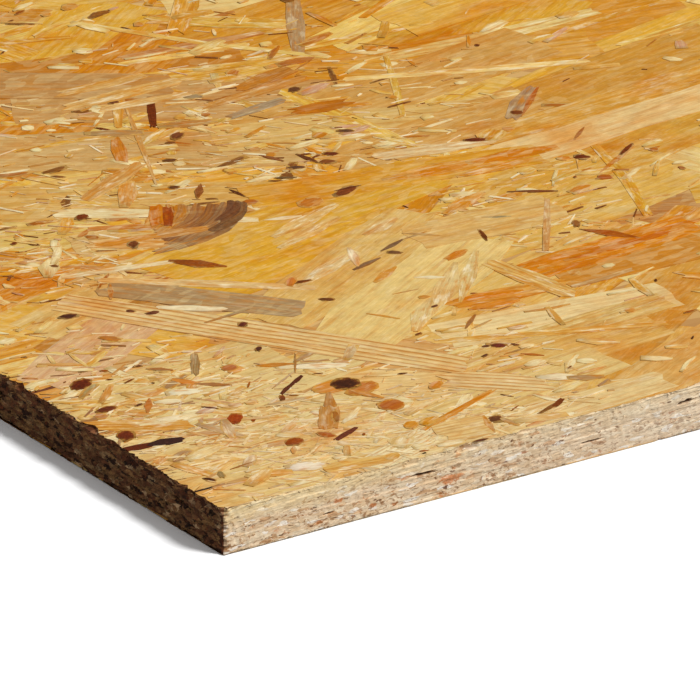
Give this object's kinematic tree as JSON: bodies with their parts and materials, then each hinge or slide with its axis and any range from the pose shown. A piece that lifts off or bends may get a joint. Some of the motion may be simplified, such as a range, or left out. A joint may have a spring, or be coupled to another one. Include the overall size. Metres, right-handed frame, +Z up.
{
  "type": "oriented strand board panel",
  "caption": "Full flat sheet of oriented strand board with square sawn edges, overlapping face strands, edge pockets and torn arrises.",
  "frame": {"origin": "centre of the underside, on the surface that the sheet lies on", "axes": "+X along the sheet's length, which the face strands follow, +Y across its width, +Z up out of the upper face"},
  "size_m": [2.44, 1.22, 0.018],
  "materials": {
    "pressed_strands": "pressed pine strands, waxed and resin bonded, unsanded, satin, with raw sawn edges"
  },
  "bodies": {
    "root": {"osb_panel": "pressed_strands"}
  },
  "joints": []
}
